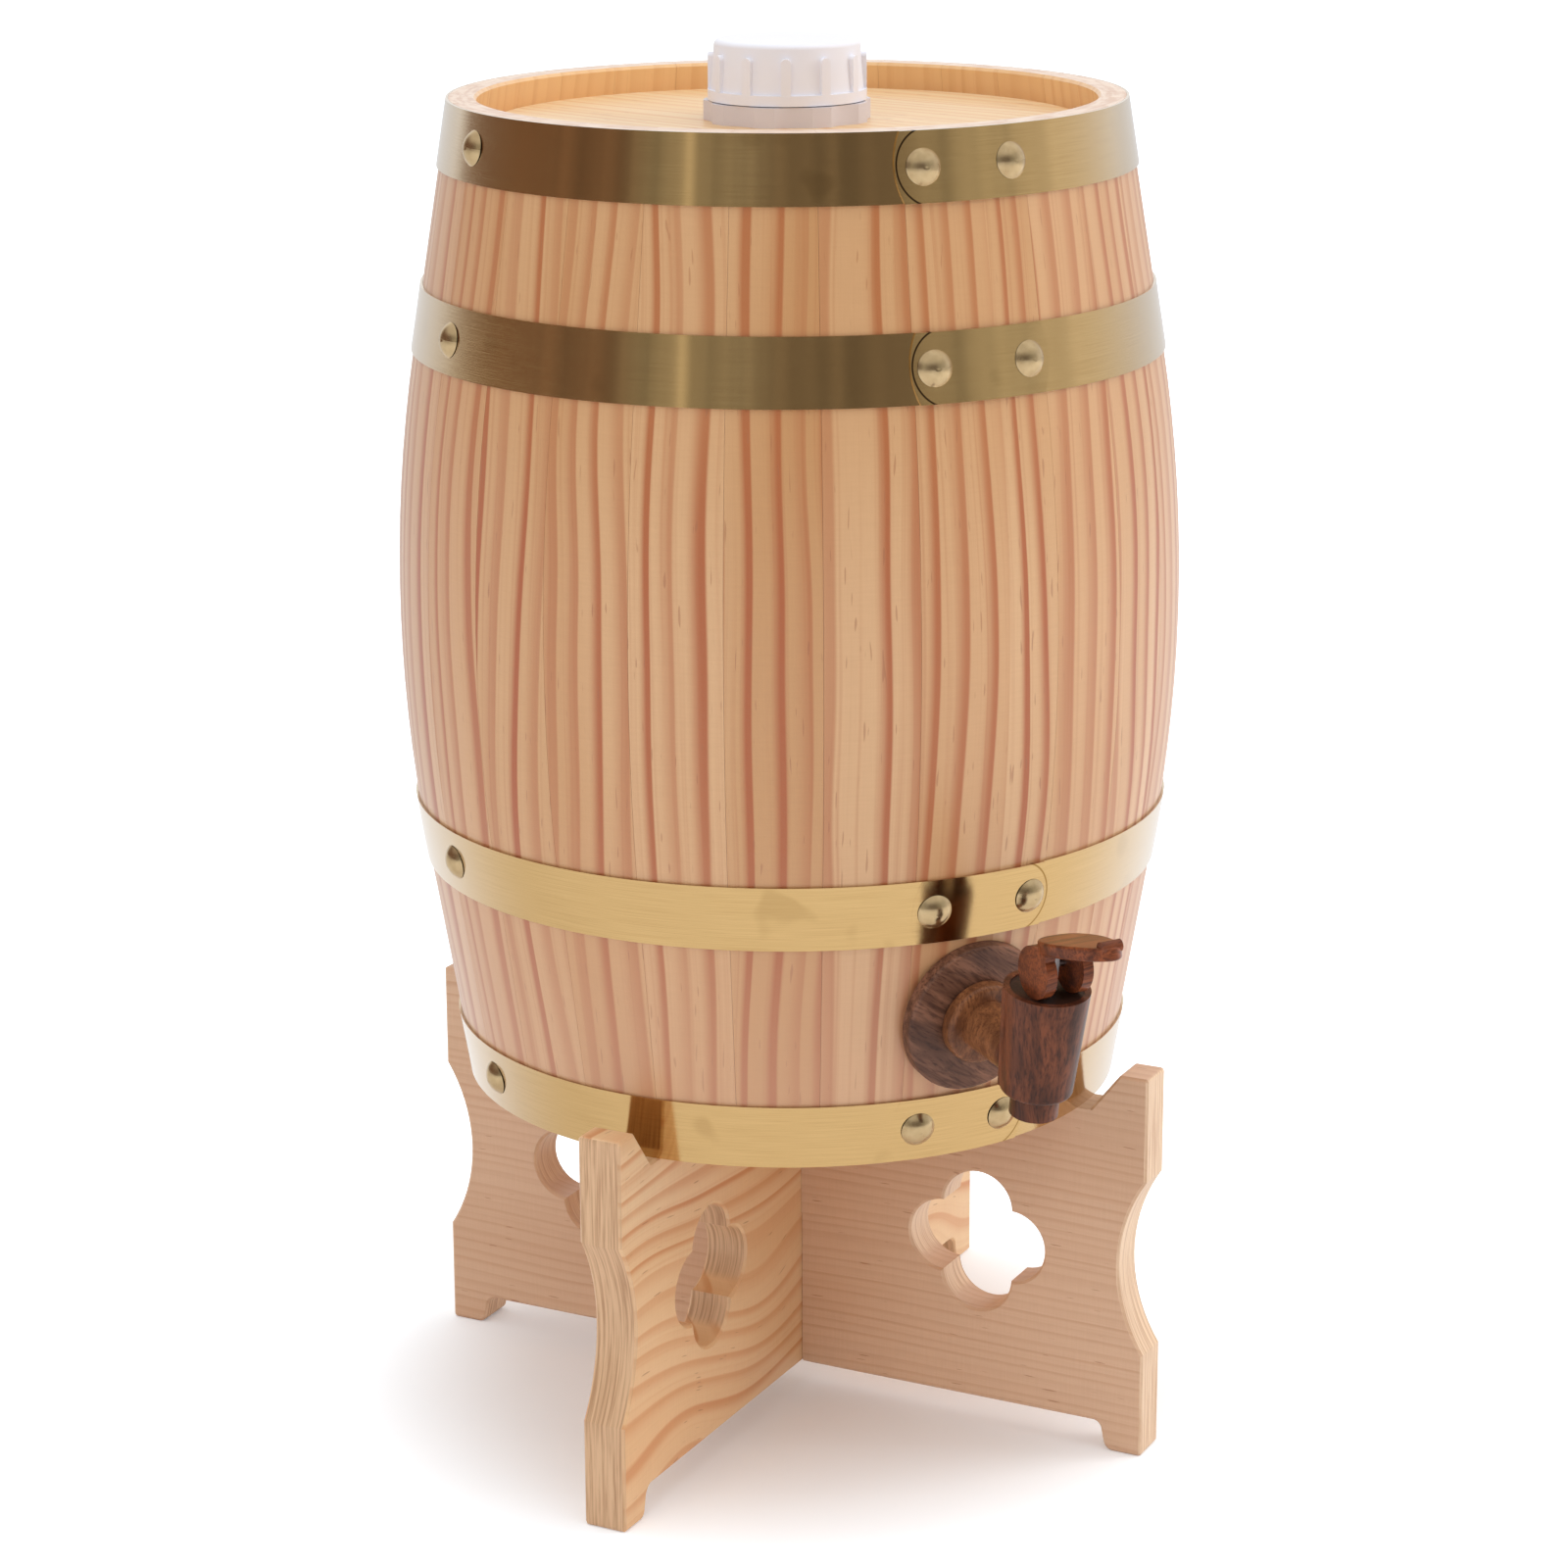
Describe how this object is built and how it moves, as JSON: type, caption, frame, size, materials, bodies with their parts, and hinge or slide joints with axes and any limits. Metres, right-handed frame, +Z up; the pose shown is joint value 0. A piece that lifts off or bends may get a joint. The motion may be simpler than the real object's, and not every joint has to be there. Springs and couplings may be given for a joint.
{
  "type": "cask liquor dispenser",
  "caption": "Upright bulging wooden cask with metal hoops and rivets, a lever tap low on its front and a ribbed screw cap, standing on a cross-lapped board stand with cut-outs",
  "frame": {"origin": "middle of the bounding box in plan, on the floor under the stand", "axes": "+Z up along the cask's axis and out of the filler neck, the tap points to -Y, +X is to the right of the tap as seen from its front"},
  "size_m": [0.308, 0.3906, 0.5548],
  "materials": {
    "stave_wood": "pale satin softwood with upright orange-brown grain",
    "head_wood": "pale satin softwood boards",
    "stand_wood": "pale satin softwood with horizontal grain",
    "hoop_metal": "satin golden strip",
    "rivet_metal": "polished domes",
    "tank_plastic": "blown food-safe plastic, slightly milky",
    "cap_plastic": "moulded white plastic",
    "tap_plastic": "plastic with a dark streaked wood-look film",
    "plunger_plastic": "moulded white plastic",
    "seal_rubber": "pale food-safe rubber",
    "spring_steel": "drawn stainless wire"
  },
  "bodies": {
    "stand": {"stand_board_lower": "stand_wood", "stand_board_upper": "stand_wood"},
    "cask": {"stave_01": "stave_wood", "stave_02": "stave_wood", "stave_03": "stave_wood", "stave_04": "stave_wood", "stave_05": "stave_wood", "stave_06": "stave_wood", "stave_07": "stave_wood", "stave_08": "stave_wood", "stave_09": "stave_wood", "stave_10": "stave_wood", "stave_11": "stave_wood", "stave_12": "stave_wood", "stave_13": "stave_wood", "stave_14": "stave_wood", "stave_15": "stave_wood", "stave_16": "stave_wood", "stave_17": "stave_wood", "stave_18": "stave_wood", "stave_19": "stave_wood", "stave_20": "stave_wood", "stave_21": "stave_wood", "stave_22": "stave_wood", "stave_23": "stave_wood", "stave_24": "stave_wood", "stave_25": "stave_wood", "stave_26": "stave_wood", "head_bottom": "head_wood", "head_top": "head_wood", "hoop_bottom": "hoop_metal", "hoop_lower": "hoop_metal", "hoop_upper": "hoop_metal", "hoop_top": "hoop_metal", "rivets_bottom": "rivet_metal", "rivets_lower": "rivet_metal", "rivets_upper": "rivet_metal", "rivets_top": "rivet_metal", "inner_tank": "tank_plastic", "neck_nut": "cap_plastic", "boss_seal": "seal_rubber", "tap_rosette": "tap_plastic", "tap_washer": "seal_rubber", "tap_body": "tap_plastic", "tap_bonnet": "tap_plastic", "stem_ring": "seal_rubber", "valve_spring": "spring_steel"},
    "cap_disc": {"cap_seal": "seal_rubber"},
    "cap": {"filler_cap": "cap_plastic"},
    "plunger": {"valve_plunger": "plunger_plastic", "seat_seal": "seal_rubber", "lever_pin": "spring_steel"},
    "lever": {"tap_lever": "tap_plastic"}
  },
  "joints": [
    {"name": "cask_lift", "type": "slide", "parent": "stand", "child": "cask", "axis": [0, 0, 1], "range_m": [0, 0.06]},
    {"name": "cap_rise", "type": "slide", "parent": "cask", "child": "cap_disc", "axis": [0, 0, 1], "range_m": [0, 0.01201]},
    {"name": "cap_turn", "type": "hinge", "parent": "cap_disc", "child": "cap", "pos_m": [0, 0.04131, 0.54], "axis": [0, 0, 1], "range_deg": [0, 720]},
    {"name": "plunger_lift", "type": "slide", "parent": "cask", "child": "plunger", "axis": [0, -0.1626, 0.9867], "range_m": [0, 0.0028], "deforming": ["valve_spring"]},
    {"name": "lever_press", "type": "hinge", "parent": "plunger", "child": "lever", "pos_m": [0, -0.15256, 0.2376], "axis": [1, 0, 0], "range_deg": [0, 40], "stiffness_Nm_per_rad": 0.05}
  ],
  "couplings": [
    {"joint": "cap_rise", "follows": "cap_turn", "m_per_rad": 0.00095493},
    {"joint": "plunger_lift", "follows": "lever_press", "m_per_rad": 0.004}
  ]
}
